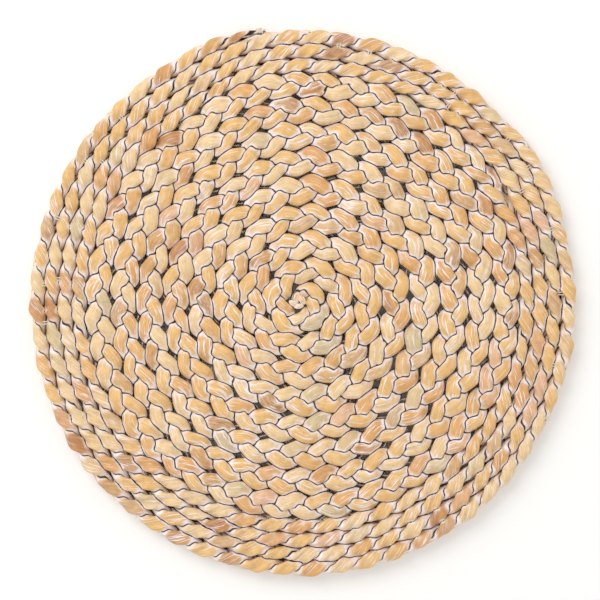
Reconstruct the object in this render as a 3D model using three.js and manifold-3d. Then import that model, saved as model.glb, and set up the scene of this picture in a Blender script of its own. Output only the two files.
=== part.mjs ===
// A round seat pad: one long three-strand plait of split plant stems, wound flat into a spiral from the
// centre, then turned on its edge for the last rows, which stand up as a rim. Thread sews each course to
// the course inside it.
//
// Millimetres, +Z up. The pad rests on the bottom of its rim at z = 0, and the origin is the middle of the
// box round it. Angles run clockwise from +Y, seen from above, which is the way the plait is laid.

import * as THREE from 'three';
import Module from 'manifold-3d';
import { mergeVertices } from 'three/addons/utils/BufferGeometryUtils.js';

const wasm = await Module();
wasm.setup();

// Sizes of the pad and of its plait
const padDiameter = 380;
const plaitWidth = 17.6; // from one flat course to the next
const plaitThickness = 9.7; // from one row on edge to the next
const plaitPeriod = 58.5; // a strand is back in its place after this length of plait
const leastPeriod = 0.35; // the share of that period that would be left where the plait had no width
const rimRows = 4; // rows on edge, where the rim has most
const coreRadius = 2; // what the first turn is wound round
const startWidth = 7; // the plait where it begins, beside the core
const startShrink = 0.7; // what is left of the plait's section at the very start, where it is bound
const stemsPerStrand = 13; // each strand is fed with this many stems, one after another
const sideShare = 0.6; // of the plait's half width: a strand's middle runs this far out along its edges
const liftShare = 0.5; // of its half thickness: a strand rises and sinks this far
const courseGap = 0.65; // between a course and its neighbour
const strandGap = 0.35; // between two strands where they cross, and between a stem and the next
const strandTrim = strandGap / 1.5; // off a strand's half sizes, which opens that gap square to its slants
const restDepth = 0.6; // how far the rim's lowest stems are pressed flat
const threadDiameter = 1.2;
const threadSides = 3;
const seatGap = 0.3; // between the thread and the stems it lies against
const longStray = 0.66; // how far a strand's straight steps may stray from its curve
const shortStray = 0.33; // the same for a step half as long, as strands get thinner towards the centre
const finestStray = 0.18; // and for the shortest steps
const threadSag = 0.3; // how far a straight step of the thread may cut inside the curve
const steppingSag = 0.1; // and how far where the courses step outwards
const bindingInset = 3.5; // from either end of the plait to the thread that binds it
const bindingRound = 0.5; // how far the binding's ring clears the strands' corners
const bindingSides = 6;
const bindingSteps = 16;
const weld = 0.001; // points nearer than this are one point

// Where things happen round the pad, in degrees
const twistAngle = 60; // the middle of the stretch where the plait turns on to its edge
const twistSpread = 30; // the length of that stretch
const tailAngle = 352; // where the plait ends
const jogAngle = 341; // the middle of the step outwards that makes room beside the tail
const jogSpread = 34;
const tailLength = 44; // the last of the plait gets thinner over this length, in millimetres
const tailShrink = 0.45; // what is left of its section at the very end
const startSpread = 0.5; // the strands reach their full section this many turns from the start
const startLead = 0.5; // the second course starts to move out this many turns before it meets the start
const seamLead = 0.2; // the seam begins this many turns after the start
const stepReach = 1.2; // a step outwards is felt this far from its middle, in half its spread

// Turns are counted along the plait from the middle of the twist, so flat courses have negative turns.
const spiralLead = 0.36; // how far the plain spiral runs ahead of the stepped one, in courses
const roundCourses = 2; // this many outer courses follow the stepped spiral all the way round
const rowShare = plaitThickness / plaitWidth;
const twistHalf = twistSpread / 720;
const jogTurn = (jogAngle - twistAngle) / 360;
const jogHalf = jogSpread / 720;
const endTurn = rimRows - 1 + (tailAngle - twistAngle) / 360;
const tailTurns = tailLength / (Math.PI * padDiameter);
const flatRadius = padDiameter / 2 - rimRows * plaitThickness; // outside the last flat course, past the twist
const startTurn = (coreRadius + startWidth - flatRadius) / plaitWidth - spiralLead;

const clamp = THREE.MathUtils.clamp;
const smooth = (t) => THREE.MathUtils.smoothstep(t, 0, 1);

// A staircase that climbs one at each whole number, over half a width either side of it.
function stair(t, half) {
  const step = Math.round(t);
  return step - 1 + smooth((t - step) / (2 * half) + 0.5);
}

const isTwisting = (turn) => Math.abs(turn) < stepReach * twistHalf;

// Whether the courses here step outwards, past the even spiral near the centre.
function isStepping(turn) {
  const fromTwist = Math.abs(turn - Math.round(turn));
  const fromJog = Math.abs(turn - jogTurn - Math.round(turn - jogTurn));
  const isNear = fromTwist < stepReach * twistHalf || fromJog < stepReach * jogHalf;
  return turn > -roundCourses && isNear;
}

// How far the plait's face has turned from lying up (0) to facing outwards (a right angle).
const tilt = (turn) => (Math.PI / 2) * smooth(turn / (2 * twistHalf) + 0.5);

// The outer edge of the flat spiral. Near the centre it grows evenly. Further out each course keeps its
// radius most of the way round and steps outwards beside the tail and beside the twist, so that the rim
// outside it comes out round.
function flatEdge(turn) {
  const even = turn + spiralLead;
  const atTwist = (1 - rowShare) * (stair(turn, twistHalf) + 1);
  const stepped = atTwist + rowShare * (stair(turn - jogTurn, jogHalf) + 2);
  const share = smooth((turn - startTurn - 1) / (-startTurn - 1 - roundCourses));
  return flatRadius + plaitWidth * THREE.MathUtils.lerp(even, stepped, share);
}

// Half sizes of one strand's place in the plait. The strand runs along either edge of the plait at x = side,
// rises from -lift to lift there, and crosses to the other edge. Its section is a lozenge.
function strandPlace(width, thickness, shrink) {
  const halfWidth = (shrink * (width - courseGap)) / 2;
  const halfThickness = (shrink * (thickness - courseGap)) / 2;
  return {
    side: sideShare * halfWidth,
    lift: liftShare * halfThickness,
    across: (1 - sideShare) * halfWidth - strandTrim,
    high: (1 - liftShare) * halfThickness - strandTrim,
    halfWidth,
    halfThickness,
  };
}

// Everything about the plait at one turn: its place, its tilt and how far its strands reach.
function plaitAt(turn) {
  const inner = Math.max(outerEdge(turn - 1), coreRadius);
  const angle = tilt(turn);
  const width = turn < 0 ? flatEdge(turn) - inner : plaitWidth;
  const atTail = 1 - clamp((endTurn - turn) / tailTurns, 0, 1);
  const atStart = 1 - smooth((turn - startTurn) / startSpread);
  const shrink = (1 - atTail * (1 - tailShrink)) * (1 - atStart * (1 - startShrink));
  const place = strandPlace(width, plaitThickness, shrink);
  const room = Math.max(atTail, atStart) * (threadDiameter + bindingRound); // for the thread round the ends
  const cos = Math.cos(angle);
  const sin = Math.sin(angle);
  const reach = (c, s) =>
    Math.max(place.halfWidth * c + place.lift * s, place.side * c + place.halfThickness * s);
  const radial = reach(cos, sin);
  const centre = inner + courseGap / 2 + radial + (turn > 0 ? room : 0);
  return { ...place, turn, cos, sin, width, centre, outer: centre + radial, upward: reach(sin, cos) + room };
}

// The outer edge of whatever course lies at this turn. Past the twist, each course lies on the one inside it.
function outerEdge(turn) {
  if (turn < startTurn) return (coreRadius + startWidth) * smooth((turn - startTurn) / startLead + 1);
  if (turn < -twistHalf) return flatEdge(turn);
  return plaitAt(turn).outer + courseGap / 2;
}

const topZ = plaitWidth - courseGap - restDepth;
const direction = (turn) => THREE.MathUtils.degToRad(twistAngle + 360 * turn);

// A point that lies x across the plait and z out of its face, and the plait's two directions there.
function inPlait(plait, x, z) {
  const angle = direction(plait.turn);
  const out = new THREE.Vector3(Math.sin(angle), Math.cos(angle), 0);
  const up = new THREE.Vector3(0, 0, 1);
  const acrossDir = out.clone().multiplyScalar(plait.cos).addScaledVector(up, -plait.sin);
  const faceDir = out.clone().multiplyScalar(plait.sin).addScaledVector(up, plait.cos);
  const point = out.clone().multiplyScalar(plait.centre);
  point.z = topZ - plait.upward;
  point.addScaledVector(acrossDir, x).addScaledVector(faceDir, z);
  return { point, acrossDir, faceDir };
}

// The plait's phase: 1 for each period along it, with shorter periods where the plait is narrow. It is summed
// once in fine steps and looked up both ways.
const phaseStep = 1 / 720;
const phases = [0];
const lengths = [0];
for (let turn = startTurn; turn < endTurn; turn += phaseStep) {
  const plait = plaitAt(turn + phaseStep / 2);
  const run = 2 * Math.PI * plait.centre * phaseStep;
  const period = plaitPeriod * THREE.MathUtils.lerp(leastPeriod, 1, clamp(plait.width / plaitWidth, 0, 1));
  phases.push(phases[phases.length - 1] + run / period);
  lengths.push(lengths[lengths.length - 1] + run);
}
const plaitLength = lengths[lengths.length - 1];
const lastPhase = phases[phases.length - 1];

function lookUp(list, value, other) {
  let low = 0;
  let high = list.length - 1;
  while (high - low > 1) {
    const middle = (low + high) >> 1;
    if (list[middle] <= value) low = middle;
    else high = middle;
  }
  const share = (value - list[low]) / (list[high] - list[low]);
  return other(low) + share * (other(high) - other(low));
}
const turnAtPhase = (phase) => lookUp(phases, phase, (i) => startTurn + i * phaseStep);
const phaseAtLength = (length) => lookUp(lengths, length, (i) => phases[i]);

// One period of a strand: along the outer edge rising, over and down across the plait, along the inner edge
// rising, and back across. Phases are in twelfths of a period; x and z are shares of side and lift.
const strandPath = [
  { at: 1, x: 1, z: -1 },
  { at: 5, x: 1, z: 1 },
  { at: 7, x: -1, z: -1 },
  { at: 11, x: -1, z: 1 },
  { at: 13, x: 1, z: -1 },
];

function strandShares(twelfths) {
  const at = THREE.MathUtils.euclideanModulo(twelfths - 1, 12) + 1;
  const next = strandPath.findIndex((stop, i) => i > 0 && at <= stop.at);
  const [a, b] = [strandPath[next - 1], strandPath[next]];
  const t = (at - a.at) / (b.at - a.at);
  return { x: THREE.MathUtils.lerp(a.x, b.x, t), z: THREE.MathUtils.lerp(a.z, b.z, t) };
}

// How far the plait's middle line strays from a straight step that reaches this many twelfths either way.
function strayFromStep(twelfth, reach) {
  const [from, at, to] = [twelfth - reach, twelfth, twelfth + reach].map((stop) => {
    const turn = turnAtPhase(clamp(stop / 12, 0, lastPhase));
    return inPlait(plaitAt(turn), 0, 0).point;
  });
  return from.add(to).multiplyScalar(0.5).distanceTo(at);
}

// Stations are needed at the strand's corners. Between them they are needed where the plait turns on to its
// edge, and where a longer step would stray too far. The limits are in millimetres, by the step's reach in
// twelfths, and get smaller towards the centre, where the strands are thinner.
function isStation(twelfth, lag) {
  const at = THREE.MathUtils.euclideanModulo(twelfth - lag, 6);
  if (at === 1 || at === 5) return true;
  const turn = turnAtPhase(twelfth / 12);
  if (at === 3 && (isStepping(turn) || strayFromStep(twelfth, 2) > longStray)) return true;
  if (at % 1 === 0) return isTwisting(turn) || strayFromStep(twelfth, 1) > shortStray;
  return strayFromStep(twelfth, 0.5) > finestStray;
}

// A path whose sections are given one by one, each with its own two half sizes as vectors.
class SectionPath extends THREE.Curve {
  constructor(sections) {
    super();
    this.sections = sections;
  }
  getPoint(t) {
    return this.sections[Math.round(t * (this.sections.length - 1))].point.clone();
  }
  getSpacedPoints() {
    return this.sections.map((section) => section.point.clone());
  }
  computeFrenetFrames() {
    return {
      tangents: this.sections.map((section) => section.along),
      normals: this.sections.map((section) => section.across),
      binormals: this.sections.map((section) => section.high),
    };
  }
}

const ring = (sides, start) =>
  new THREE.Shape(
    Array.from({ length: sides }, (_, i) => {
      const angle = start + (2 * Math.PI * i) / sides;
      return new THREE.Vector2(Math.cos(angle), Math.sin(angle));
    })
  );
const lozenge = ring(4, 0);

function loft(shape, sections) {
  const geometry = new THREE.ExtrudeGeometry(shape, {
    steps: sections.length - 1,
    bevelEnabled: false,
    extrudePath: new SectionPath(sections),
  });
  geometry.deleteAttribute('normal');
  geometry.deleteAttribute('uv');
  return mergeVertices(geometry, weld);
}

// The section of one strand at a phase of the plait. Each strand lags the one before it by a third.
function strandSection(strand, phase) {
  const plait = plaitAt(turnAtPhase(phase));
  const shares = strandShares(12 * (phase - strand / 3));
  const { point, acrossDir, faceDir } = inPlait(plait, shares.x * plait.side, shares.z * plait.lift);
  return {
    point,
    along: acrossDir.clone().cross(faceDir),
    across: acrossDir.clone().multiplyScalar(plait.across),
    high: faceDir.clone().multiplyScalar(plait.high),
  };
}

// The phases where one stem of a strand ends and the next begins: evenly along the plait, staggered between
// the strands, and always where the strand is on the underside.
function splicePhases(strand) {
  const splices = [];
  for (let i = 1; i < stemsPerStrand; i++) {
    const length = (plaitLength * (i + (strand - 1) / 3)) / stemsPerStrand;
    const lag = strand / 3 + 7 / 12;
    splices.push(Math.round(phaseAtLength(length) - lag) + lag);
  }
  return splices;
}

const leastStep = 0.3; // twelfths that a stem's own ends keep from the next station

function stemSections(strand, from, to) {
  const lag = 4 * strand;
  const sections = [strandSection(strand, from)];
  for (let twelfth = Math.ceil(12 * from + leastStep); twelfth < 12 * to - leastStep; twelfth += 0.5) {
    const phase = twelfth / 12;
    if (isStation(twelfth, lag)) sections.push(strandSection(strand, phase));
  }
  sections.push(strandSection(strand, to));
  return sections;
}

// Cuts away whatever is below z = 0, which leaves the flat places that the pad rests on.
const toSolid = (geometry) =>
  new wasm.Manifold(
    new wasm.Mesh({
      numProp: 3,
      vertProperties: new Float32Array(geometry.attributes.position.array),
      triVerts: new Uint32Array(geometry.index.array),
    })
  );

function toGeometry(solid) {
  const mesh = solid.getMesh();
  const geometry = new THREE.BufferGeometry();
  geometry.setAttribute('position', new THREE.BufferAttribute(mesh.vertProperties, 3));
  geometry.setIndex(new THREE.BufferAttribute(mesh.triVerts, 1));
  return geometry;
}

const groundBox = new THREE.BoxGeometry(2 * padDiameter, 2 * padDiameter, plaitWidth);
groundBox.deleteAttribute('normal');
groundBox.deleteAttribute('uv');
const ground = toSolid(mergeVertices(groundBox)).translate([0, 0, -plaitWidth / 2]);

function restOnGround(geometry) {
  geometry.computeBoundingBox();
  if (geometry.boundingBox.min.z >= 0) return geometry;
  return toGeometry(toSolid(geometry).subtract(ground));
}

const stemColours = ['#d9b98a', '#cfa978', '#e3c79e'];
const stemRoughness = 0.7;
const threadColour = '#efe6d2';
const threadRoughness = 0.6;
const group = new THREE.Group();

function addPiece(name, geometry, colour, roughness) {
  const material = new THREE.MeshStandardMaterial({ color: colour, roughness, metalness: 0 });
  const mesh = new THREE.Mesh(geometry, material);
  mesh.name = name;
  group.add(mesh);
}

const numbered = (i) => String(i).padStart(2, '0');

function addStrand(strand) {
  const spliceHalf = strandGap / 2 / plaitPeriod;
  const ends = [0, ...splicePhases(strand), lastPhase];
  for (let i = 0; i < stemsPerStrand; i++) {
    const from = i === 0 ? ends[i] : ends[i] + spliceHalf;
    const to = i === stemsPerStrand - 1 ? ends[i + 1] : ends[i + 1] - spliceHalf;
    const geometry = restOnGround(loft(lozenge, stemSections(strand, from, to)));
    addPiece(`strand_${'abc'[strand]}_stem_${numbered(i + 1)}`, geometry, stemColours[strand], stemRoughness);
  }
}

for (const strand of [0, 1, 2]) addStrand(strand);

// The thread lies in the groove under the seam between a course and the next one out. It touches neither:
// its centre keeps a radius and a seat gap from the lozenges' slanting sides.
const threadReach = threadDiameter / 2 + seatGap;

function threadSection(turn) {
  const plait = plaitAt(turn);
  const slant = Math.hypot(plait.across, plait.high);
  const edge = outerEdge(turn);
  const nextTilt = tilt(turn + 1) / (Math.PI / 2);
  const aside = nextTilt * (1 - tilt(turn) / (Math.PI / 2)) * (threadReach - courseGap / 2);
  const flat = edge - aside - plait.centre - plait.side - plait.across; // past the tips of a flat course
  const edgewise = edge - plait.centre - plait.lift - plait.high; // past the tips of a row on edge
  const below =
    turn < 0
      ? plait.lift + (threadReach * slant - flat * plait.high) / plait.across
      : plait.side + (threadReach * slant - edgewise * plait.across) / plait.high;
  const angle = direction(turn);
  const out = new THREE.Vector3(Math.sin(angle), Math.cos(angle), 0);
  const up = new THREE.Vector3(0, 0, 1);
  return {
    point: out.clone().multiplyScalar(edge - aside).setZ(topZ - plait.upward - below),
    along: out.clone().cross(up),
    across: out.multiplyScalar(threadDiameter / 2),
    high: up.multiplyScalar(threadDiameter / 2),
  };
}

// One length of thread. Its steps are longer where the spiral is wider, and shorter where it steps outwards.
function threadLength(from, to) {
  const sections = [];
  for (let turn = from; turn < to; ) {
    sections.push(threadSection(turn));
    const edge = outerEdge(turn);
    const sag = isStepping(turn) ? steppingSag : threadSag;
    turn += Math.sqrt(8 * sag * edge) / (2 * Math.PI * edge);
  }
  sections.push(threadSection(to));
  return loft(ring(threadSides, Math.PI / 2), sections);
}

// The flat courses and the rim are sewn apart, and each is sewn with more than one length of thread.
const flatSeam = { from: startTurn + seamLead, to: -stepReach * twistHalf, lengths: 3 };
const rimSeam = { from: stepReach * twistHalf, to: endTurn - 1 - tailTurns, lengths: 2 };
let threads = 0;
for (const { from, to, lengths: count } of [flatSeam, rimSeam]) {
  const cuts = Array.from({ length: count + 1 }, (_, i) => {
    const area = THREE.MathUtils.lerp((from - startTurn) ** 2, (to - startTurn) ** 2, i / count);
    return startTurn + Math.sqrt(area); // a spiral's length grows with the square of its turns
  });
  for (let i = 0; i < count; i++) {
    const cutShort = seatGap / (2 * Math.PI * outerEdge(cuts[i + 1]));
    threads += 1;
    const name = `seam_thread_${numbered(threads)}`;
    addPiece(name, threadLength(cuts[i], cuts[i + 1] - cutShort), threadColour, threadRoughness);
  }
}

// A ring of thread binds the strands together at either end of the plait.
function addBinding(name, turn) {
  const plait = plaitAt(turn);
  const { point, acrossDir, faceDir } = inPlait(plait, 0, 0);
  const across = plait.halfWidth + bindingRound + threadDiameter / 2;
  const high = plait.halfThickness + bindingRound + threadDiameter / 2;
  const middle = (across + high) / 2;
  const geometry = new THREE.TorusGeometry(middle, threadDiameter / 2, bindingSides, bindingSteps);
  geometry.deleteAttribute('normal');
  geometry.deleteAttribute('uv');
  geometry.scale(across / middle, high / middle, 1);
  geometry.applyMatrix4(
    new THREE.Matrix4().makeBasis(acrossDir, faceDir, acrossDir.clone().cross(faceDir)).setPosition(point)
  );
  addPiece(name, mergeVertices(geometry, weld), threadColour, threadRoughness);
}

addBinding('start_binding', startTurn + bindingInset / (2 * Math.PI * (coreRadius + startWidth)));
addBinding('tail_binding', endTurn - bindingInset / (Math.PI * padDiameter));

const box = new THREE.Box3().setFromObject(group);
const middle = box.getCenter(new THREE.Vector3());
group.position.set(-middle.x, -middle.y, 0);

export default group;
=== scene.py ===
# A round seat pad of plaited water hyacinth, whitewashed and rubbed back. One three-strand plait is wound
# flat from the centre and stands on its edge for the last rows.

import math

import bpy
import numpy as np
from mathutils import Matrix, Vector


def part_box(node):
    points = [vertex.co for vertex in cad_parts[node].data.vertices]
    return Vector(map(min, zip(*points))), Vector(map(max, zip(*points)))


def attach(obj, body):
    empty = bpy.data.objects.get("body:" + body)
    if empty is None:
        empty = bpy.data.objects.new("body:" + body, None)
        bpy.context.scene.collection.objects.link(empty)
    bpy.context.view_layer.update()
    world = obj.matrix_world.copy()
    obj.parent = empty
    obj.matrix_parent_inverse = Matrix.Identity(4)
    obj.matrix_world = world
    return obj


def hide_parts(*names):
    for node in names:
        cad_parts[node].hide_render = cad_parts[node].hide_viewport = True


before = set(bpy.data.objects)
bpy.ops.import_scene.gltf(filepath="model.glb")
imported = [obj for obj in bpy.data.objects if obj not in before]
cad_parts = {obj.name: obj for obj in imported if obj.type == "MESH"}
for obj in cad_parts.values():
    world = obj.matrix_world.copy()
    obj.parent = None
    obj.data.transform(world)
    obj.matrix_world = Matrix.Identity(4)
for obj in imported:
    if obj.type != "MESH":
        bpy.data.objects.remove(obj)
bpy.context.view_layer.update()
mm = 0.001

# The plait's course, in millimetres and degrees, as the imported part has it
pad = {
    "diameter": 380.0,
    "plaitWidth": 17.6,  # from one flat course to the next
    "plaitThickness": 9.7,  # from one row on edge to the next
    "plaitPeriod": 58.5,  # a strand is back in its place after this length
    "leastPeriod": 0.35,  # share of that period that would be left where the plait had no width
    "sideShare": 0.6,  # of the half width: how far out a strand's middle runs
    "liftShare": 0.5,  # of the half thickness: how far it rises and sinks
    "rimRows": 4,
    "coreRadius": 2.0,  # what the first turn is wound round
    "startWidth": 7.0,  # the plait where it begins
    "startShrink": 0.7,  # what is left of its section there
    "startSpread": 0.5,  # turns until it has its full section
    "startLead": 0.5,  # turns over which the second course moves out before it meets the start
    "courseGap": 0.65,  # between a course and its neighbour
    "twistAngle": 60.0,  # the middle of the stretch where the plait turns on to its edge
    "twistSpread": 30.0,
    "tailAngle": 352.0,  # where the plait ends
    "tailLength": 44.0,
    "tailShrink": 0.45,
    "jogAngle": 341.0,  # the middle of the step outwards that makes room beside the tail
    "jogSpread": 34.0,
    "spiralLead": 0.36,  # how far the plain spiral runs ahead of the stepped one, in courses
    "roundCourses": 2,  # outer courses that follow the stepped spiral all the way round
    "bindingRoom": 1.7,  # the start is sunk this far, to fit its binding; the tail lies close without
    "stemsPerStrand": 13,
    "restDepth": 0.6,  # how far the rim's lowest stems are pressed flat
}
gridSteps = 720  # entries of the tables below in each turn
quarterTurn = math.pi / 2
peakShift = 1 / 8  # periods from where a strand crosses the plait's middle to its highest or lowest point

rowShare = pad["plaitThickness"] / pad["plaitWidth"]
twistHalf = pad["twistSpread"] / 720
jogTurn = (pad["jogAngle"] - pad["twistAngle"]) / 360
jogHalf = pad["jogSpread"] / 720
endTurn = pad["rimRows"] - 1 + (pad["tailAngle"] - pad["twistAngle"]) / 360
tailTurns = pad["tailLength"] / (math.pi * pad["diameter"])
flatRadius = pad["diameter"] / 2 - pad["rimRows"] * pad["plaitThickness"]
startEdge = pad["coreRadius"] + pad["startWidth"]
startTurn = (startEdge - flatRadius) / pad["plaitWidth"] - pad["spiralLead"]
topZ = pad["plaitWidth"] - pad["courseGap"] - pad["restDepth"]


def smooth(t):
    t = np.clip(t, 0.0, 1.0)
    return t * t * (3 - 2 * t)


def between(pair, share):
    return pair[0] + (pair[1] - pair[0]) * share


# A stair that climbs by one at each whole number, eased over half to either side of it.
def stair(t, half):
    step = np.round(t)
    return step - 1 + smooth((t - step) / (2 * half) + 0.5)


# The outer edge of a flat course: a plain spiral at the centre, which turns into a stepped one further out.
def flatEdge(turn):
    even = turn + pad["spiralLead"]
    atTwist = (1 - rowShare) * (stair(turn, twistHalf) + 1)
    stepped = atTwist + rowShare * (stair(turn - jogTurn, jogHalf) + 2)
    share = smooth((turn - startTurn - 1) / (-startTurn - 1 - pad["roundCourses"]))
    return flatRadius + pad["plaitWidth"] * (even + (stepped - even) * share)


# Tables of the plait's place along its whole length. Each course past the twist lies on the one inside it,
# so they are filled from the centre outwards.
def layPlait():
    turns = np.arange(startTurn - 1, endTurn + 1.5 / gridSteps, 1 / gridSteps)
    columns = ("width", "tilt", "centre", "outer", "upward", "shrink")
    table = {name: np.zeros(len(turns)) for name in columns}
    table["turn"] = turns
    for i, turn in enumerate(turns):
        if turn < startTurn:
            table["outer"][i] = startEdge * smooth((turn - startTurn) / pad["startLead"] + 1)
            continue
        inner = max(table["outer"][i - gridSteps], pad["coreRadius"])
        tilt = quarterTurn * smooth(turn / (2 * twistHalf) + 0.5)
        width = flatEdge(turn) - inner if turn < 0 else pad["plaitWidth"]
        atTail = 1 - min(max((endTurn - turn) / tailTurns, 0), 1)
        atStart = 1 - smooth((turn - startTurn) / pad["startSpread"])
        shrink = (1 - atTail * (1 - pad["tailShrink"])) * (1 - atStart * (1 - pad["startShrink"]))
        room = atStart * pad["bindingRoom"]
        halfWidth = shrink * (width - pad["courseGap"]) / 2
        halfThickness = shrink * (pad["plaitThickness"] - pad["courseGap"]) / 2
        c, s = math.cos(tilt), math.sin(tilt)
        side = pad["sideShare"] * halfWidth
        lift = pad["liftShare"] * halfThickness
        across = max(halfWidth * c + lift * s, side * c + halfThickness * s)
        upward = max(halfWidth * s + lift * c, side * s + halfThickness * c)
        centre = inner + pad["courseGap"] / 2 + across
        table["width"][i] = width
        table["tilt"][i] = tilt
        table["centre"][i] = centre
        table["upward"][i] = upward + room
        table["shrink"][i] = shrink
        edge = centre + across + pad["courseGap"] / 2
        table["outer"][i] = flatEdge(turn) if turn < -twistHalf else edge
    laid = turns >= startTurn
    table = {name: values[laid] for name, values in table.items()}
    run = 2 * math.pi * table["centre"] / gridSteps
    widthShare = np.clip(table["width"] / pad["plaitWidth"], 0, 1)
    period = pad["plaitPeriod"] * between((pad["leastPeriod"], 1), widthShare)
    table["length"] = np.concatenate([[0], np.cumsum(run)[:-1]])
    table["phase"] = np.concatenate([[0], np.cumsum(run / period)[:-1]])
    return table


plait = layPlait()
plaitLength = plait["length"][-1]
lastPhase = plait["phase"][-1]
leafCount = int(lastPhase * 2) + 12  # a strand shows on top twice in each period, and some are to spare
print(f"plait laid: {plaitLength / 1000:.2f} m, {lastPhase:.1f} periods")


# Where the plait's middle is, and which way its width and its face point, at phases counted in periods.
def plaitAt(phase):
    turn = np.interp(phase, plait["phase"], plait["turn"])
    columns = ("width", "tilt", "centre", "upward", "shrink")
    found = {name: np.interp(turn, plait["turn"], plait[name]) for name in columns}
    angle = np.radians(pad["twistAngle"] + 360 * turn)
    out = np.stack([np.sin(angle), np.cos(angle), np.zeros_like(angle)], axis=-1)
    up = np.array([0.0, 0.0, 1.0])
    c, s = np.cos(found["tilt"])[:, None], np.sin(found["tilt"])[:, None]
    found["turn"] = turn
    found["across"] = out * c - up * s
    found["face"] = out * s + up * c
    found["middle"] = out * found["centre"][:, None] + up * (topZ - found["upward"])[:, None]
    return found


# One dried stem: how it runs through the plait and how it is squashed there, in millimetres. It shows on top
# as a row of leaf shapes. Where a size has two values, the first is for the flat courses and the second for
# the rim.
stem = {
    "side": (5.1, 5.6),  # how far its middle swings to either edge of the plait
    "sideLag": 9.0,  # degrees of a period by which it swings behind its rise, on the flat courses
    "sideFlat": (-0.05, 0.04),  # share of the third harmonic: below 0 it runs straighter from edge to edge
    "lift": (2.2, 1.7),  # how far it rises and sinks
    "liftFlat": (0.0, -0.1),  # the same share for the rise and fall
    "bank": 14.0,  # degrees its face leans out towards the plait's edges, on the flat courses
    "turnOver": 100.0,  # degrees by which it turns over between one edge and the other, on the rim
    "halfWidth": (4.8, 4.7),
    "leafBulge": (0.35, 0.45),  # wider than that in the middle of each leaf shape, and narrower at its ends
    "leafMiddle": (127.0, 90.0),  # degrees of a period
    "tintEdge": 0.12,  # share of a leaf over which its tint gives way to the next
    "halfThickness": (2.9, 3.3),
    "leafCrown": (0.4, -0.3),  # thicker than that in the middle of each leaf shape, or thinner
    "edgeThickness": (0.0, -0.35),  # thicker still at the plait's edges, and thinner where it crosses
    "roundness": 2.2,  # exponent of the section's outline: 2 is an ellipse
    "stationsPerPeriod": 32,
    "sides": 28,
    "spliceAt": 7 / 12,  # of a period: one stem follows another where the strand has dived under
    "spliceOverlap": 0.06,  # periods that a stem runs on past its splice
    "taper": 0.16,  # periods over which its end thins
    "endGirth": 0.45,  # share of its girth left there
    "tailTaper": 0.7,  # periods over which the last stems run out to a point
    "tailGirth": 0.12,
    "wander": 0.3,  # random shift of its middle
    "girth": 0.1,  # random share of its width and thickness
    "widthLimits": (-1.6, 1.6),  # how many times that share it may be off
    "thickLimits": (-1.5, 1.0),
    "lean": 7.0,  # random lean of its face, in degrees
    "groove": 0.5,  # depth of the crease where a stem has split along its middle
    "splitFrom": 0.9,  # it has split where its random value is over this
    "splitWander": 0.25,  # share of its half width by which the crease strays
    "splitWidth": 0.16,  # and which the crease takes
    "pitFrom": 4.6,  # from the plait's middle: further out, painted shade darkens the grooves between its flat courses
    "pitTop": 0.3,  # below this height in the plait
    "pitEase": (1.2, 1.4),  # over these lengths, sideways and down
    "pitFloor": -3.0,
    "paintedShadeGap": 0.2,  # the distance from the next stem that the material paints as full shade
    "pressed": 0.8,  # skin lower than this is pressed flat towards the ground
    "seed": 7,
}


# Smooth random values along a strand: one drawn for the middle of each leaf shape, and eased between.
def wobble(rng, swing):
    knots = rng.normal(0, 1, leafCount)
    at = np.clip((swing + (1 + peakShift)) * 2, 0, leafCount - 2)
    low = np.floor(at).astype(int)
    return knots[low] + (knots[low + 1] - knots[low]) * smooth(at - low)


# Where the stem shows on top it has one tint, and the next place where it shows has another.
def facetTints(rng, swing, tilt):
    draws = rng.random((leafCount, 4))
    shift = peakShift * (1 - tilt / quarterTurn)
    at = (swing - shift) * 2 + 4  # the 4 keeps the earliest leaves above zero
    low = np.floor(at).astype(int)
    ease = smooth((at - low) / stem["tintEdge"])[:, None]
    return draws[low - 1] + (draws[low] - draws[low - 1]) * ease


# Where one stem of a strand follows another: near even lengths, and always where the strand is underneath.
def splicePhases(strand):
    lag = strand / 3 + stem["spliceAt"]
    splices = []
    for i in range(1, pad["stemsPerStrand"]):
        length = plaitLength * (i + (strand - 1) / 3) / pad["stemsPerStrand"]
        phase = np.interp(length, plait["length"], plait["phase"])
        splices.append(np.floor(phase - lag + 0.5) + lag)
    return [0.0] + splices + [lastPhase]


def makeMesh(name, vertices, faces, uvs):
    mesh = bpy.data.meshes.new(name)
    mesh.from_pydata(vertices.tolist(), [], faces)
    layer = mesh.uv_layers.new(name="alongStem")
    loopVertex = np.zeros(len(mesh.loops), dtype=np.int32)
    mesh.loops.foreach_get("vertex_index", loopVertex)
    layer.data.foreach_set("uv", uvs[loopVertex].ravel())
    mesh.polygons.foreach_set("use_smooth", [True] * len(mesh.polygons))
    mesh.update()
    piece = bpy.data.objects.new(name, mesh)
    bpy.context.scene.collection.objects.link(piece)
    return piece


# Keeps values for the material at each point of a skin's rings. The skin's two end points come last, and
# repeat the first and the last of them.
def keepValues(piece, name, values):
    rows = values.reshape(len(piece.data.vertices) - 2, -1)
    kind, field = ("FLOAT", "value") if rows.shape[1] == 1 else ("FLOAT_COLOR", "color")
    layer = piece.data.attributes.new(name, kind, "POINT")
    layer.data.foreach_set(field, np.concatenate([rows, rows[[0, -1]]]).ravel())


# U is metres along a skin, V once round it.
def skinUvs(along, around):
    grid = np.broadcast_arrays(along[:, None], around[None, :] / (2 * np.pi))
    uvs = np.stack(grid, axis=-1).reshape(-1, 2)
    return np.concatenate([uvs, uvs[[0, -1]]])


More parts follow.
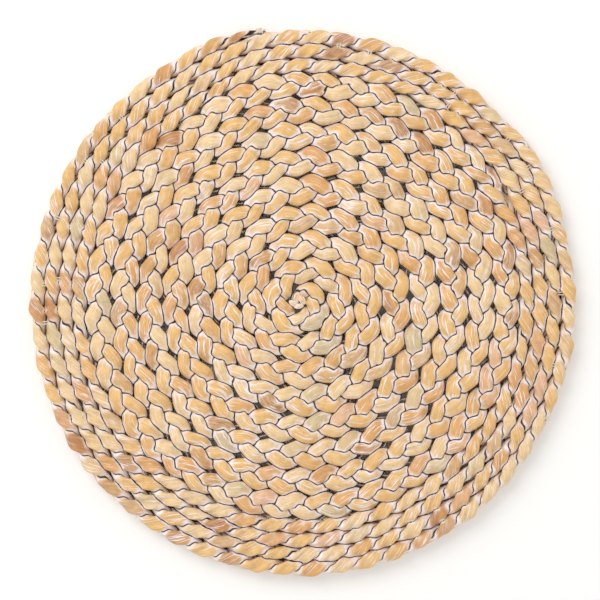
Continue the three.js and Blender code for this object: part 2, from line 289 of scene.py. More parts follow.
# Rings of points joined into a closed skin, with one point at each end.
def skinFaces(rings, sides):
    faces = []
    for r in range(rings - 1):
        a, b = r * sides, (r + 1) * sides
        faces += [(a + i, a + (i + 1) % sides, b + (i + 1) % sides, b + i) for i in range(sides)]
    first, last = rings * sides, rings * sides + 1
    faces += [(first, (i + 1) % sides, i) for i in range(sides)]
    end = (rings - 1) * sides
    faces += [(last, end + i, end + (i + 1) % sides) for i in range(sides)]
    return faces


def signedPower(values, power):
    return np.sign(values) * np.abs(values) ** power


# The middle line, section sizes and random tints of a whole strand at the phases asked for.
def strandAt(strand, phase, rngSeed):
    rng = np.random.default_rng(rngSeed)
    place = plaitAt(phase)
    swing = phase - strand / 3
    angle = 2 * np.pi * swing
    narrow = (place["width"] - pad["courseGap"]) / (pad["plaitWidth"] - pad["courseGap"])
    sx = narrow * place["shrink"]
    sz = place["shrink"]
    onEdge = place["tilt"] / quarterTurn
    flatShare = between(stem["sideFlat"], onEdge)
    behind = angle - np.radians(stem["sideLag"]) * (1 - onEdge)
    sway = np.sin(behind) + flatShare * np.sin(3 * behind)
    side = between(stem["side"], onEdge) * sway / (1 - flatShare)
    x = sx * (side + stem["wander"] * wobble(rng, swing))
    liftShare = between(stem["liftFlat"], onEdge)
    rise = (np.sin(2 * angle) + liftShare * np.sin(6 * angle)) / (1 - liftShare)
    z = sz * (-between(stem["lift"], onEdge) * rise + stem["wander"] * wobble(rng, swing))
    banked = -90 - stem["bank"] * np.sin(behind)
    turned = between((banked, -stem["turnOver"] * np.cos(angle)), smooth(onEdge))
    lean = np.radians(turned + stem["lean"] * wobble(rng, swing))
    girth = 1 + stem["girth"] * np.clip(wobble(rng, swing), *stem["widthLimits"])
    squash = 1 + stem["girth"] * np.clip(wobble(rng, swing), *stem["thickLimits"])
    leaf = np.cos(2 * (angle - np.radians(between(stem["leafMiddle"], onEdge))))
    bulge = between(stem["leafBulge"], onEdge) * leaf
    width = girth * (between(stem["halfWidth"], onEdge) + bulge) * np.sqrt(sx * sz)
    thicker = between(stem["edgeThickness"], onEdge) * np.cos(2 * angle)
    crown = between(stem["leafCrown"], onEdge) * leaf - thicker
    thick = squash * (between(stem["halfThickness"], onEdge) + crown) * sz
    crease = np.clip(wobble(rng, swing) - stem["splitFrom"], 0, 1)
    creaseAt = stem["splitWander"] * wobble(rng, swing)
    tints = facetTints(rng, swing, place["tilt"])
    return place, {
        "x": x, "z": z, "lean": lean, "width": width, "thick": thick, "tints": tints,
        "crease": crease, "creaseAt": creaseAt, "leafEnd": 0.5 - 0.5 * leaf,
    }


# How far points of one stem's skin, at x and z in the plait, lie from the stems beside it, in millimetres:
# less than nothing is inside one. The stems of its own course and of the courses either side are looked at.
def clearance(strand, place, x, z):
    c, s = np.cos(place["tilt"])[:, None], np.sin(place["tilt"])[:, None]
    radius = place["centre"][:, None] + x * c + z * s
    height = topZ - place["upward"][:, None] - x * s + z * c
    farOff = 9.0
    nearest = np.full(x.shape, farOff)
    for course in (-1, 0, 1):
        turn = place["turn"] + course
        there = (turn > startTurn) & (turn < endTurn)
        if not there.any():
            continue
        otherPhase = np.interp(turn, plait["turn"], plait["phase"])
        for other in range(3):
            if course == 0 and other == strand:
                continue
            otherPlace, run = strandAt(other, otherPhase, stem["seed"] + other)
            otherTilt = otherPlace["tilt"][:, None]
            cosTilt, sinTilt = np.cos(otherTilt), np.sin(otherTilt)
            dr = radius - otherPlace["centre"][:, None]
            dz = height - (topZ - otherPlace["upward"][:, None])
            ox = dr * cosTilt - dz * sinTilt - run["x"][:, None]
            oz = dr * sinTilt + dz * cosTilt - run["z"][:, None]
            cosLean, sinLean = np.cos(run["lean"])[:, None], np.sin(run["lean"])[:, None]
            q = np.abs(-ox * sinLean + oz * cosLean) / run["width"][:, None]
            n = np.abs(ox * cosLean + oz * sinLean) / run["thick"][:, None]
            reach = (q ** stem["roundness"] + n ** stem["roundness"]) ** (1 / stem["roundness"])
            size = np.sqrt(ox ** 2 + oz ** 2)
            gap = size * (1 - 1 / np.maximum(reach, 1e-6))
            gap = np.where(there[:, None], gap, farOff)
            nearest = np.minimum(nearest, gap)
    return nearest


def makeStem(strand, number, fromPhase, toPhase):
    name = f"stem_{'abc'[strand]}_{number:02d}"
    start = max(fromPhase - stem["spliceOverlap"], 0)
    end = min(toPhase + stem["spliceOverlap"], lastPhase)
    count = int((end - start) * stem["stationsPerPeriod"]) + 2
    phase = np.linspace(start, end, count)
    place, run = strandAt(strand, phase, stem["seed"] + strand)
    ends = np.clip(np.minimum(phase - start, end - phase) / stem["taper"], 0, 1)
    thin = between((stem["endGirth"], 1), np.sqrt(ends))
    if end == lastPhase:
        tail = np.clip((end - phase) / stem["tailTaper"], 0, 1)
        thin = np.minimum(thin, between((stem["tailGirth"], 1), np.sqrt(tail)))
    sides = stem["sides"]
    around = 2 * np.pi * np.arange(sides) / sides
    power = 2 / stem["roundness"]
    across = signedPower(np.cos(around), power)[None, :]
    outward = signedPower(np.sin(around), power)[None, :]
    creaseShape = np.exp(-(((across - run["creaseAt"][:, None]) / stem["splitWidth"]) ** 2))
    dent = 1 - stem["groove"] * run["crease"][:, None] * creaseShape
    q = (run["width"] * thin)[:, None] * across
    n = (run["thick"] * thin)[:, None] * outward * dent
    cosLean, sinLean = np.cos(run["lean"])[:, None], np.sin(run["lean"])[:, None]
    x = run["x"][:, None] - q * sinLean + n * cosLean
    z = run["z"][:, None] + q * cosLean + n * sinLean
    points = (
        place["middle"][:, None, :]
        + x[:, :, None] * place["across"][:, None, :]
        + z[:, :, None] * place["face"][:, None, :]
    )
    low = points[:, :, 2] < stem["pressed"]
    sunk = stem["pressed"] * np.exp(np.minimum(points[:, :, 2] / stem["pressed"] - 1, 0))
    points[:, :, 2] = np.where(low, sunk, points[:, :, 2])
    caps = np.stack([points[0].mean(axis=0), points[-1].mean(axis=0)])
    vertices = np.concatenate([points.reshape(-1, 3), caps])
    clear = clearance(strand, place, x, z)
    sideEase, downEase = stem["pitEase"]
    # Painted shade: a mask for the lower skin in the grooves between the flat courses, and none on the rim
    paintedPitShade = smooth((np.abs(x) - stem["pitFrom"]) / sideEase) * smooth((stem["pitTop"] - z) / downEase)
    paintedPitShade *= smooth(z - stem["pitFloor"]) * (1 - place["tilt"] / quarterTurn)[:, None]
    along = np.interp(phase, plait["phase"], plait["length"]) * mm
    piece = makeMesh(name, (vertices - centreShift) * mm, skinFaces(count, sides), skinUvs(along, around))
    keepValues(piece, "facetTint", np.repeat(run["tints"], sides, axis=0))
    # The distance from the next stem, by which the material keeps wash and paints shade. In the grooves it is
    # pulled to full painted shade.
    keepValues(piece, "seam", between((clear, stem["paintedShadeGap"]), paintedPitShade))
    keepValues(piece, "leafEnd", np.repeat(run["leafEnd"], sides))
    return piece


def placeAtTurn(turn):
    return plaitAt(np.interp(np.atleast_1d(turn), plait["turn"], plait["phase"]))


# The threads that hold the plait, in millimetres
thread = {
    "diameter": 1.2,
    "stitch": 17.0,  # from one seam stitch to the next
    "reach": 2.8,  # how far a seam stitch slants into the course at either side
    "rise": 0.8,  # how far it rises where it crosses between them
    "pinch": 0.5,  # share of its slant that it loses there
    "seamStep": 0.8,  # in entries of the plait's tables
    "seamLead": 0.2,  # the seam begins this many turns after the start
    "stepReach": 1.2,  # and keeps this far from the twist, in half its spread
    "flatLengths": 3,
    "rimLengths": 2,
    "bindingInset": 3.5,  # from either end of the plait to its binding
    "wraps": 4,
    "wrapSteps": 40,
    "wrapPitch": 0.92,  # in diameters: the wraps press into one another
    "startSqueeze": 0.9,  # how far the bindings pull the plait in
    "tailSqueeze": 0.62,
    "plies": 3,
    "plyTwist": 2.4,  # along the thread for one turn of its plies
    "plyDepth": 0.13,  # share of the radius
    "sides": 12,
    "step": 0.8,  # from one ring of the tube's points to the next
    "leastSteps": 6,
}
startBindingTurn = startTurn + thread["bindingInset"] / (2 * math.pi * startEdge)
tailBindingTurn = endTurn - thread["bindingInset"] / (math.pi * pad["diameter"])

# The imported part's origin is the middle of its box, which the spiral's own centre misses by a little. The
# place of the start binding shows by how much.
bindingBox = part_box("start_binding")
bindingMiddle = (np.array(bindingBox[0]) + np.array(bindingBox[1])) / 2 / mm
centreShift = placeAtTurn(startBindingTurn)["middle"][0] - bindingMiddle
centreShift[2] = 0
print(f"spiral centre off the box's middle by {centreShift.round(2)} mm")


def srgb(code):
    parts = [int(code[i:i + 2], 16) / 255 for i in (1, 3, 5)]
    return tuple(p / 12.92 if p <= 0.04045 else ((p + 0.055) / 1.055) ** 2.4 for p in parts) + (1.0,)


# Adds a node, sets its properties and inputs, and links other nodes' outputs into it.
def addNode(tree, kind, settings=None, values=None, links=None):
    node = tree.nodes.new(kind)
    for key, value in (settings or {}).items():
        setattr(node, key, value)
    for key, value in (values or {}).items():
        node.inputs[key].default_value = value
    for key, source in (links or {}).items():
        tree.links.new(source, node.inputs[key])
    return node


def newMaterial(name):
    material = bpy.data.materials.new(name)
    material.use_nodes = True
    material.node_tree.nodes.clear()
    return material, material.node_tree


# Water hyacinth stem, dried, split and plaited, then whitewashed and rubbed back. The rubbed bellies are a
# satiny straw gold with fine lengthwise fibres, the wash stays as a chalky lilac white on the shoulders, and
# painted shade takes the crevices nearly black, by how close the next stem is.
hyacinth = {
    "gold": "#e9bb78",
    "straw": "#edcb98",
    "orange": "#dfa768",
    "pinkTan": "#e5b892",
    "greyTan": "#d0bb92",
    "shoulder": "#f2dcc4",  # the belly's colour pales to this towards the seams
    "russet": "#a8683f",
    "wash": "#faf1f4",
    # Near black, for the painted shade in the crevices and grooves and for the blotches of dust
    "crevice": "#2c1409",
    "skinRound": 22.0,  # millimetres once round the skin
    "fibreSpacing": 0.35,  # millimetres between fibres; drawn coarser than the real 0.15 so that they show
    "fibreLength": 16.0,
    "streakSpacing": 0.9,  # between streaks of wash
    "streakLength": 14.0,
    "patchSpacing": 2.8,  # across a patch where the wash has stayed
    "patchLength": 10.0,
    "blotchSize": 4.0,  # across a blotch of dust
    "roughness": 0.58,
    "bumpStrength": 0.4,
    "bumpDepth": 0.3,  # millimetres
    "washCover": 0.9,  # how fully the wash covers where it is thickest
    "dustFrom": 0.5,  # blotches of dust begin where their noise is over this
    "dustCover": 0.7,
    # Where each tint is purest, along a leaf's random value
    "tints": (
        (0.0, "greyTan"), (0.06, "straw"), (0.3, "straw"), (0.45, "gold"), (0.78, "gold"), (0.93, "orange"),
        (1.0, "pinkTan"),
    ),
    # From one value to another of what it reads, and what it gives there
    "ranges": {
        # By millimetres from the next stem
        "belly": (0.9, 3.4, 0.0, 1.0),
        "pale": (0.8, 3.6, 0.6, 0.0),
        "washEdge": (2.4, 0.5, 0.0, 0.9),
        "washNear": (4.5, 1.5, 0.0, 1.0),
        # Painted shade, which grows close to the next stem
        "deep": (0.9, 0.28, 0.0, 1.0),
        # By a leaf's own random values
        "stainDraw": (0.8, 1.0, 0.0, 1.0),
        "washDraw": (0.0, 1.0, 0.45, 1.8),
        # By how near a leaf's end is
        "washTip": (0.25, 0.85, 0.0, 0.8),
        # By the noise
        "stainPatch": (0.38, 0.6, 0.3, 1.0),
        "washPatch": (0.38, 0.58, 0.2, 1.0),
        "washStreaks": (0.52, 0.68, 0.0, 0.8),
        "fine": (0.3, 0.7, 0.88, 1.08),
        "broad": (0.25, 0.75, 0.88, 1.08),
    },
}


def makeHyacinth():
    material, tree = newMaterial("waterHyacinth_plaited_whitewashed")
    times, minus = {"operation": "MULTIPLY"}, {"operation": "SUBTRACT"}
    most = {"operation": "MAXIMUM", "use_clamp": True}
    clampedPlus = {"operation": "ADD", "use_clamp": True}
    even, eased = {}, {"interpolation_type": "SMOOTHSTEP"}
    colourMix = {"data_type": "RGBA"}
    threeOctaves = {"Scale": 1.0, "Detail": 3.0, "Roughness": 0.6}
    fourOctaves = {"Scale": 1.0, "Detail": 4.0, "Roughness": 0.6}
    blotches = {"Scale": 1 / (hyacinth["blotchSize"] * mm), "Detail": 3.0}
    fibreBump = {"Strength": hyacinth["bumpStrength"], "Distance": hyacinth["bumpDepth"] * mm}
    shoulder, russet = {"B": srgb(hyacinth["shoulder"])}, {"B": srgb(hyacinth["russet"])}
    white, black = {"B": srgb(hyacinth["wash"])}, {"B": srgb(hyacinth["crevice"])}
    skin = {"Roughness": hyacinth["roughness"], "IOR": 1.45}
    limits = ("From Min", "From Max", "To Min", "To Max")
    ranges = {name: dict(zip(limits, values)) for name, values in hyacinth["ranges"].items()}
    skinRound = hyacinth["skinRound"]
    scales = {
        name: {"Scale": (1 / (hyacinth[f"{name}Length"] * mm), skinRound / hyacinth[f"{name}Spacing"], 1)}
        for name in ("fibre", "streak", "patch")
    }
    # Each step: its name, the node, its settings, its values, and the outputs linked into it
    steps = [
        ("uv", "UVMap", {"uv_map": "alongStem"}, {}, {}),
        ("place", "TexCoord", {}, {}, {}),
        ("tint", "Attribute", {"attribute_name": "facetTint"}, {}, {}),
        ("seam", "Attribute", {"attribute_name": "seam"}, {}, {}),
        ("leafEnd", "Attribute", {"attribute_name": "leafEnd"}, {}, {}),
        ("draw", "SeparateColor", {}, {}, {"Color": "tint.Color"}),
        # Fibres, streaks and patches: noise stretched along the stem
        ("fibreAt", "Mapping", {}, scales["fibre"], {"Vector": "uv.UV"}),
        ("streakAt", "Mapping", {}, scales["streak"], {"Vector": "uv.UV"}),
        ("patchAt", "Mapping", {}, scales["patch"], {"Vector": "uv.UV"}),
        ("fibre", "TexNoise", {}, threeOctaves, {"Vector": "fibreAt.Vector"}),
        ("streak", "TexNoise", {}, fourOctaves, {"Vector": "streakAt.Vector"}),
        ("patch", "TexNoise", {}, threeOctaves, {"Vector": "patchAt.Vector"}),
        ("blotch", "TexNoise", {}, blotches, {"Vector": "place.Object"}),
        ("base", "ValToRGB", {}, {}, {"Fac": "draw.Red"}),
        # The belly keeps the richer colour, and the shoulders pale
        ("belly", "MapRange", eased, ranges["belly"], {"Value": "seam.Fac"}),
        ("pale", "MapRange", eased, ranges["pale"], {"Value": "seam.Fac"}),
        ("paled", "Mix", colourMix, shoulder, {"Factor": "pale.Result", "A": "base.Color"}),
        # A stain in the middle of some leaves
        ("stainDraw", "MapRange", even, ranges["stainDraw"], {"Value": "draw.Blue"}),
        ("stainPatch", "MapRange", eased, ranges["stainPatch"], {"Value": "streak.Fac"}),
        ("stainBelly", "Math", times, {}, {0: "belly.Result", 1: "stainDraw.Result"}),
        ("stain", "Math", times, {}, {0: "stainBelly.Value", 1: "stainPatch.Result"}),
        ("stained", "Mix", colourMix, russet, {"Factor": "stain.Value", "A": "paled.Result"}),
        ("fine", "MapRange", even, ranges["fine"], {"Value": "fibre.Fac"}),
        ("broad", "MapRange", even, ranges["broad"], {"Value": "patch.Fac"}),
        ("shade", "Math", times, {}, {0: "fine.Result", 1: "broad.Result"}),
        ("body", "VectorMath", {"operation": "SCALE"}, {}, {0: "stained.Result", "Scale": "shade.Value"}),
        # The wash is left along the seams in patches, and in thin streaks over the belly
        ("washEdge", "MapRange", eased, ranges["washEdge"], {"Value": "seam.Fac"}),
        ("washTip", "MapRange", eased, ranges["washTip"], {"Value": "leafEnd.Fac"}),
        ("washNear", "MapRange", eased, ranges["washNear"], {"Value": "seam.Fac"}),
        ("washPatch", "MapRange", eased, ranges["washPatch"], {"Value": "patch.Fac"}),
        ("washDraw", "MapRange", even, ranges["washDraw"], {"Value": "draw.Green"}),
        ("washEnd", "Math", times, {}, {0: "washTip.Result", 1: "washNear.Result"}),
        ("washRim", "Math", most, {}, {0: "washEdge.Result", 1: "washEnd.Value"}),
        ("washPatchy", "Math", times, {}, {0: "washRim.Value", 1: "washPatch.Result"}),
        ("washAtEdge", "Math", times, {}, {0: "washPatchy.Value", 1: "washDraw.Result"}),
        ("washStreaks", "MapRange", eased, ranges["washStreaks"], {"Value": "streak.Fac"}),
        ("washOver", "Math", times, {}, {0: "washStreaks.Result", 1: "washDraw.Result"}),
        ("washAll", "Math", most, {}, {0: "washAtEdge.Value", 1: "washOver.Value"}),
        ("wash", "Math", times, {1: hyacinth["washCover"]}, {0: "washAll.Value"}),
        ("washed", "Mix", colourMix, white, {"Factor": "wash.Value", "A": "body.Vector"}),
        # Painted shade in the crevices and grooves, and blotches where dust and old stain stay
        ("deep", "MapRange", even, ranges["deep"], {"Value": "seam.Fac"}),
        ("dustOver", "Math", minus, {1: hyacinth["dustFrom"]}, {0: "blotch.Fac"}),
        ("dust", "Math", times, {1: hyacinth["dustCover"]}, {0: "dustOver.Value"}),
        ("crevice", "Math", clampedPlus, {}, {0: "deep.Result", 1: "dust.Value"}),
        ("colour", "Mix", colourMix, black, {"Factor": "crevice.Value", "A": "washed.Result"}),
        ("bump", "Bump", {}, fibreBump, {"Height": "fibre.Fac"}),
        ("shader", "BsdfPrincipled", {}, skin, {"Base Color": "colour.Result", "Normal": "bump.Normal"}),
        ("out", "OutputMaterial", {}, {}, {"Surface": "shader.BSDF"}),
    ]
    made = {}
    for name, kind, settings, values, links in steps:
        sources = {}
        for key, link in links.items():
            node, socket = link.split(".")
            sources[key] = made[node].outputs[socket]
        made[name] = addNode(tree, f"ShaderNode{kind}", settings, values, sources)
    elements = made["base"].color_ramp.elements
    while len(elements) < len(hyacinth["tints"]):
        elements.new(0.5)
    for element, (at, name) in zip(elements, hyacinth["tints"]):
        element.position = at
        element.color = srgb(hyacinth[name])
    return material


hyacinthMaterial = makeHyacinth()
for strand in range(3):
    ends = splicePhases(strand)
    for number in range(pad["stemsPerStrand"]):
        piece = makeStem(strand, number + 1, ends[number], ends[number + 1])
        piece.data.materials.append(hyacinthMaterial)
        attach(piece, "root")
        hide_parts(f"strand_{'abc'[strand]}_stem_{number + 1:02d}")
print(f"stems made: {3 * pad['stemsPerStrand']}")

# Cotton sewing thread, three plies twisted together: a soft matt cream, a little fuzzy, with dark between
# plies.
cotton = {
    "cream": "#efe4cd",
    "shadow": "#a8977a",
    "shadowRange": (-0.7, 0.6),  # from all shadow to all cream, by the height of the plies and the fuzz
    "roughness": 0.85,
    "sheen": 0.25,
    "fuzzSize": 0.25,  # millimetres across a tuft of fuzz
    "bumpStrength": 0.4,
    "bumpDepth": 0.1,  # millimetres
}


def makeCotton():
    material, tree = newMaterial("cottonThread_threePly")
    times, minus = {"operation": "MULTIPLY"}, {"operation": "SUBTRACT"}
    uv = addNode(tree, "ShaderNodeUVMap", {"uv_map": "alongStem"})
    place = addNode(tree, "ShaderNodeTexCoord")
    split = addNode(tree, "ShaderNodeSeparateXYZ", links={"Vector": uv.outputs["UV"]})
    perMetre = {1: 1 / (thread["plyTwist"] * mm)}
    turns = addNode(tree, "ShaderNodeMath", times, perMetre, {0: split.outputs["X"]})
    twisted = {0: split.outputs["Y"], 1: turns.outputs["Value"]}
    around = addNode(tree, "ShaderNodeMath", minus, links=twisted)
    perTurn = {1: 2 * math.pi * thread["plies"]}
    wave = addNode(tree, "ShaderNodeMath", times, perTurn, {0: around.outputs["Value"]})
    ridge = addNode(tree, "ShaderNodeMath", {"operation": "COSINE"}, links={0: wave.outputs["Value"]})
    tufts = {"Scale": 1 / (cotton["fuzzSize"] * mm), "Detail": 3.0}
    fuzz = addNode(tree, "ShaderNodeTexNoise", values=tufts, links={"Vector": place.outputs["Object"]})
    both = {0: ridge.outputs["Value"], 1: fuzz.outputs["Fac"]}
    height = addNode(tree, "ShaderNodeMath", {"operation": "ADD"}, links=both)
    heights = dict(zip(("From Min", "From Max"), cotton["shadowRange"]))
    factor = addNode(tree, "ShaderNodeMapRange", values=heights, links={"Value": height.outputs["Value"]})
    colours = {"A": srgb(cotton["shadow"]), "B": srgb(cotton["cream"])}
    light = {"Factor": factor.outputs["Result"]}
    colour = addNode(tree, "ShaderNodeMix", {"data_type": "RGBA"}, colours, light)
    depth = {"Strength": cotton["bumpStrength"], "Distance": cotton["bumpDepth"] * mm}
    bump = addNode(tree, "ShaderNodeBump", values=depth, links={"Height": height.outputs["Value"]})
    surface = {"Roughness": cotton["roughness"], "Sheen Weight": cotton["sheen"]}
    looks = {"Base Color": colour.outputs["Result"], "Normal": bump.outputs["Normal"]}
    shader = addNode(tree, "ShaderNodeBsdfPrincipled", values=surface, links=looks)
    addNode(tree, "ShaderNodeOutputMaterial", links={"Surface": shader.outputs["BSDF"]})
    return material


cottonMaterial = makeCotton()


# Even steps along a line of points.
def evenly(points, step):
    run = np.concatenate([[0], np.cumsum(np.linalg.norm(np.diff(points, axis=0), axis=1))])
    at = np.linspace(0, run[-1], max(int(run[-1] / step), thread["leastSteps"]))
    return np.stack([np.interp(at, run, points[:, k]) for k in range(3)], axis=-1), at


# One twisted thread through some points, in millimetres: its vertices, faces and UVs.
def threadTube(points, radius):
    points, along = evenly(np.asarray(points, dtype=float), thread["step"])
    tangents = np.gradient(points, axis=0)
    tangents /= np.linalg.norm(tangents, axis=1)[:, None]
    slanted = [0.3, 0.2, 0.93]  # no thread here sets off this way
    side = np.cross(tangents[0], slanted)
    sides = []
    for tangent in tangents:
        side = side - tangent * side.dot(tangent)
        side = side / np.linalg.norm(side)
        sides.append(side)
    sides = np.array(sides)
    other = np.cross(tangents, sides)
    count = thread["sides"]
    around = 2 * np.pi * np.arange(count) / count
    plyWave = np.cos(thread["plies"] * (around[None, :] - 2 * np.pi * along[:, None] / thread["plyTwist"]))
    size = radius * (1 - thread["plyDepth"] + thread["plyDepth"] * plyWave)
    rings = points[:, None, :] + size[:, :, None] * (
        np.cos(around)[None, :, None] * sides[:, None, :] + np.sin(around)[None, :, None] * other[:, None, :]
    )
    vertices = np.concatenate([rings.reshape(-1, 3), points[[0, -1]]])
    return vertices, skinFaces(len(points), count), skinUvs(along * mm, around)


def makeThread(name, lines, radius):
    vertices, faces, uvs = [], [], []
    for line in lines:
        tubeVertices, tubeFaces, tubeUvs = threadTube(line, radius)
        base = sum(len(part) for part in vertices)
        faces += [tuple(i + base for i in face) for face in tubeFaces]
        vertices.append(tubeVertices)
        uvs.append(tubeUvs)
    piece = makeMesh(name, (np.concatenate(vertices) - centreShift) * mm, faces, np.concatenate(uvs))
    piece.data.materials.append(cottonMaterial)
    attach(piece, "root")
    return piece


# The seam's stitches slant to and fro under the groove, and rise a little where they cross it.
def seamLine(fromTurn, toTurn):
    turns = np.arange(fromTurn, toTurn, thread["seamStep"] / gridSteps)
    place = placeAtTurn(turns)
    outer = np.interp(turns, plait["turn"], plait["outer"])
    run = np.interp(turns, plait["turn"], plait["length"]) / thread["stitch"]
    swing = np.sin(2 * np.pi * run)
    crossing = np.cos(2 * np.pi * run) ** 2
    half = between((pad["plaitThickness"] / 2, pad["plaitWidth"] / 2), place["tilt"] / quarterTurn)
    low = topZ - place["upward"] - half + thread["diameter"] / 2
    angle = np.radians(pad["twistAngle"] + 360 * turns)
    radius = outer + thread["reach"] * swing * (1 - thread["pinch"] * crossing)
    height = np.maximum(low + thread["rise"] * crossing, thread["diameter"])
    return np.stack([radius * np.sin(angle), radius * np.cos(angle), height], axis=-1)


def makeSeams():
    flat = (startTurn + thread["seamLead"], -thread["stepReach"] * twistHalf, thread["flatLengths"])
    rim = (thread["stepReach"] * twistHalf, endTurn - 1 - tailTurns, thread["rimLengths"])
    number = 0
    for first, last, lengths in (flat, rim):
        cuts = [
            startTurn + math.sqrt(between(((first - startTurn) ** 2, (last - startTurn) ** 2), i / lengths))
            for i in range(lengths + 1)
        ]
        for i in range(lengths):
            number += 1
            line = seamLine(cuts[i], cuts[i + 1])
            piece = makeThread(f"seamThread_{number:02d}", [line], thread["diameter"] / 2)
            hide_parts(f"seam_thread_{number:02d}")


# A few close wraps round the three strands where the plait starts and ends.
def makeBinding(name, node, turn, squeeze):
    place = placeAtTurn(turn)
    acrossDir, faceDir = place["across"][0], place["face"][0]
    alongDir = np.cross(acrossDir, faceDir)
    angle = np.linspace(0, 2 * np.pi * thread["wraps"], thread["wrapSteps"] * thread["wraps"])
    narrow = (place["width"][0] - pad["courseGap"]) / 2 * place["shrink"][0]
    thick = (pad["plaitThickness"] - pad["courseGap"]) / 2 * place["shrink"][0]
    a, b = narrow * squeeze + thread["diameter"] / 2, thick * squeeze + thread["diameter"] / 2
    pitch = (angle / (2 * np.pi) - thread["wraps"] / 2) * thread["diameter"] * thread["wrapPitch"]
    line = (
        place["middle"][0]
        + (a * np.cos(angle))[:, None] * acrossDir
        + (b * np.sin(angle))[:, None] * faceDir
        + pitch[:, None] * alongDir
    )
    piece = makeThread(name, [line], thread["diameter"] / 2)
    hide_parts(node)


makeSeams()
makeBinding("startBinding", "start_binding", startBindingTurn, thread["startSqueeze"])
makeBinding("tailBinding", "tail_binding", tailBindingTurn, thread["tailSqueeze"])
print("seams sewn and ends bound")

# Short stem ends folded in over the start, which close the middle of the spiral. Each one's place from the
# middle of the pad's box and its size are in millimetres, and its heading in degrees.
startKnot = {
    "ends": (
        {"x": -4.3, "y": 1.0, "heading": 76, "length": 10.0, "width": 5.4},
        {"x": -0.6, "y": -0.4, "heading": -62, "length": 9.5, "width": 5.2},
        {"x": -6.4, "y": -3.2, "heading": -28, "length": 9.0, "width": 4.8},
        {"x": -2.9, "y": -5.0, "heading": 8, "length": 9.0, "width": 4.4},
    ),
    "thickness": 4.6,
    "below": 2.5,  # their middles lie this far under the top
    "unevenness": 0.15,  # random, of that depth
    "droop": 1.6,  # how far their tips bend down
    "blunt": 0.03,  # over 0 their tips are blunt
    "plumpness": 1.2,  # over 1 they thin out sooner
    "outline": 0.9,  # share of their size, from which painted shade darkens them towards the next
    "tints": (0.15, 0.7),
    "washes": (0.6, 1.0),
    "stations": 18,
    "seed": 21,
}


def makeStartKnot():
    rng = np.random.default_rng(startKnot["seed"])
    sides = stem["sides"]
    around = 2 * np.pi * np.arange(sides) / sides
    up = np.array([0, 0, 1])
    t = np.linspace(-1, 1, startKnot["stations"])
    swell = np.sqrt(np.clip(1 + startKnot["blunt"] - t ** 2, 0, 1)) ** startKnot["plumpness"]
    for number, end in enumerate(startKnot["ends"], 1):
        heading = math.radians(end["heading"])
        ahead = np.array([math.cos(heading), math.sin(heading), 0])
        aside = np.array([-math.sin(heading), math.cos(heading), 0])
        height = topZ - startKnot["below"] + rng.normal(0, startKnot["unevenness"])
        middle = np.array([end["x"], end["y"], height])
        line = middle + (t * end["length"] / 2)[:, None] * ahead - (startKnot["droop"] * t ** 2)[:, None] * up
        halfWidth = swell[:, None] * np.cos(around)[None, :] * end["width"] / 2
        halfThickness = swell[:, None] * np.sin(around)[None, :] * startKnot["thickness"] / 2
        rings = line[:, None, :] + halfWidth[:, :, None] * aside + halfThickness[:, :, None] * up
        vertices = np.concatenate([rings.reshape(-1, 3), line[[0, -1]]])
        uvs = skinUvs(t * end["length"] / 2 * mm + number, around)
        piece = makeMesh(f"startEnd_{number:02d}", vertices * mm, skinFaces(len(t), sides), uvs)
        inside = np.sqrt((t ** 2)[:, None] + (np.cos(around) ** 2)[None, :] * (1 - t ** 2)[:, None])
        # Painted shade towards each end's outline, where it meets the next
        rim = np.clip(startKnot["outline"] - inside, 0, 1) * end["width"]
        keepValues(piece, "seam", stem["paintedShadeGap"] + rim)
        keepValues(piece, "leafEnd", np.repeat(np.abs(t), sides))
        draw = (rng.uniform(*startKnot["tints"]), rng.uniform(*startKnot["washes"]), 0.0, 1.0)
        keepValues(piece, "facetTint", np.tile(draw, (len(vertices) - 2, 1)))
        piece.data.materials.append(hyacinthMaterial)
        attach(piece, "root")


makeStartKnot()
print(f"start closed with {len(startKnot['ends'])} stem ends")

# Pairs of stitches that show on top, across the grooves between the rim's rows, as angles round the pad
rimStitch = {
    "outerSeam": (8, 15, 36, 51.5, 59, 73.5, 88, 104, 265.5, 274, 289, 303, 315.5),
    "innerSeam": (36.5, 63, 275.5, 288, 305),
    "spacing": 1.7,
    "halfLength": 2.7,
    "below": 1.3,  # its middle lies this far under the top of the rim
    "droop": 2.2,
    "diameter": 0.9,
    "points": 13,
}


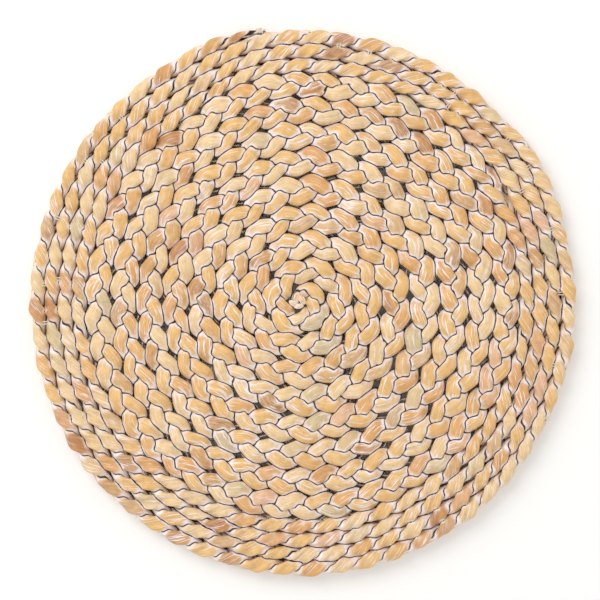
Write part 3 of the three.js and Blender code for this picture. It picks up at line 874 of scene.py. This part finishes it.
def makeRimStitches():
    lines = []
    for seam, angles in ((1, rimStitch["outerSeam"]), (2, rimStitch["innerSeam"])):
        for angle in angles:
            for side in (-0.5, 0.5):
                past = ((angle - pad["twistAngle"]) / 360) % 1
                turn = past + math.floor(endTurn - 1 - past) - (seam - 1)
                radius = np.interp(turn, plait["turn"], plait["outer"])
                a = math.radians(angle) + side * rimStitch["spacing"] / radius
                t = np.linspace(-1, 1, rimStitch["points"])
                r = radius + rimStitch["halfLength"] * np.sin(t * np.pi / 2)
                z = topZ - rimStitch["below"] - rimStitch["droop"] * np.abs(t) ** 3
                lines.append(np.stack([r * math.sin(a), r * math.cos(a), z], axis=-1))
    makeThread("rimStitches", lines, rimStitch["diameter"] / 2)


makeRimStitches()
print("stitches laid across the rim")

# Floor, light and camera. The floor is board painted matt white: a bright, even ground with soft shadows and
# no gloss.
room = {
    "floor": "#fbfaf8",
    "floorSize": 6.0,
    "floorRoughness": 0.9,
    "world": 0.85,  # brightness of the pale surroundings
    "keyWatts": 10.0,
    "keySize": 0.9,
    "keyPlace": (-0.7, 0.75, 1.3),
    "lens": 85.0,
    "sensor": 36.0,
    "frameWidth": 0.4168,  # metres across the frame at the pad's face
    "aim": (-0.002, -0.0007),
}


def makeRoom():
    bpy.ops.mesh.primitive_plane_add(size=room["floorSize"])
    floor = bpy.context.object
    floor.name = "floor"
    material, tree = newMaterial("paintedBoard_matt")
    paint = {"Base Color": srgb(room["floor"]), "Roughness": room["floorRoughness"]}
    shader = addNode(tree, "ShaderNodeBsdfPrincipled", values=paint)
    addNode(tree, "ShaderNodeOutputMaterial", links={"Surface": shader.outputs["BSDF"]})
    floor.data.materials.append(material)
    world = bpy.data.worlds.new("paleStudio")
    world.use_nodes = True
    background = world.node_tree.nodes["Background"]
    background.inputs["Color"].default_value = (1, 1, 1, 1)
    background.inputs["Strength"].default_value = room["world"]
    bpy.context.scene.world = world
    light = bpy.data.lights.new("softbox", "AREA")
    light.size = room["keySize"]
    light.energy = room["keyWatts"]
    lamp = bpy.data.objects.new("softbox", light)
    lamp.location = room["keyPlace"]
    lamp.rotation_euler = (-Vector(room["keyPlace"])).to_track_quat("-Z", "Y").to_euler()
    bpy.context.scene.collection.objects.link(lamp)
    camera = bpy.data.cameras.new("camera")
    camera.lens = room["lens"]
    camera.sensor_width = room["sensor"]
    eye = bpy.data.objects.new("camera", camera)
    distance = room["frameWidth"] * room["lens"] / room["sensor"]
    eye.location = (*room["aim"], topZ * mm + distance)
    bpy.context.scene.collection.objects.link(eye)
    bpy.context.scene.camera = eye
    bpy.context.scene.view_settings.view_transform = "Standard"


makeRoom()
print("floor, light and camera set")
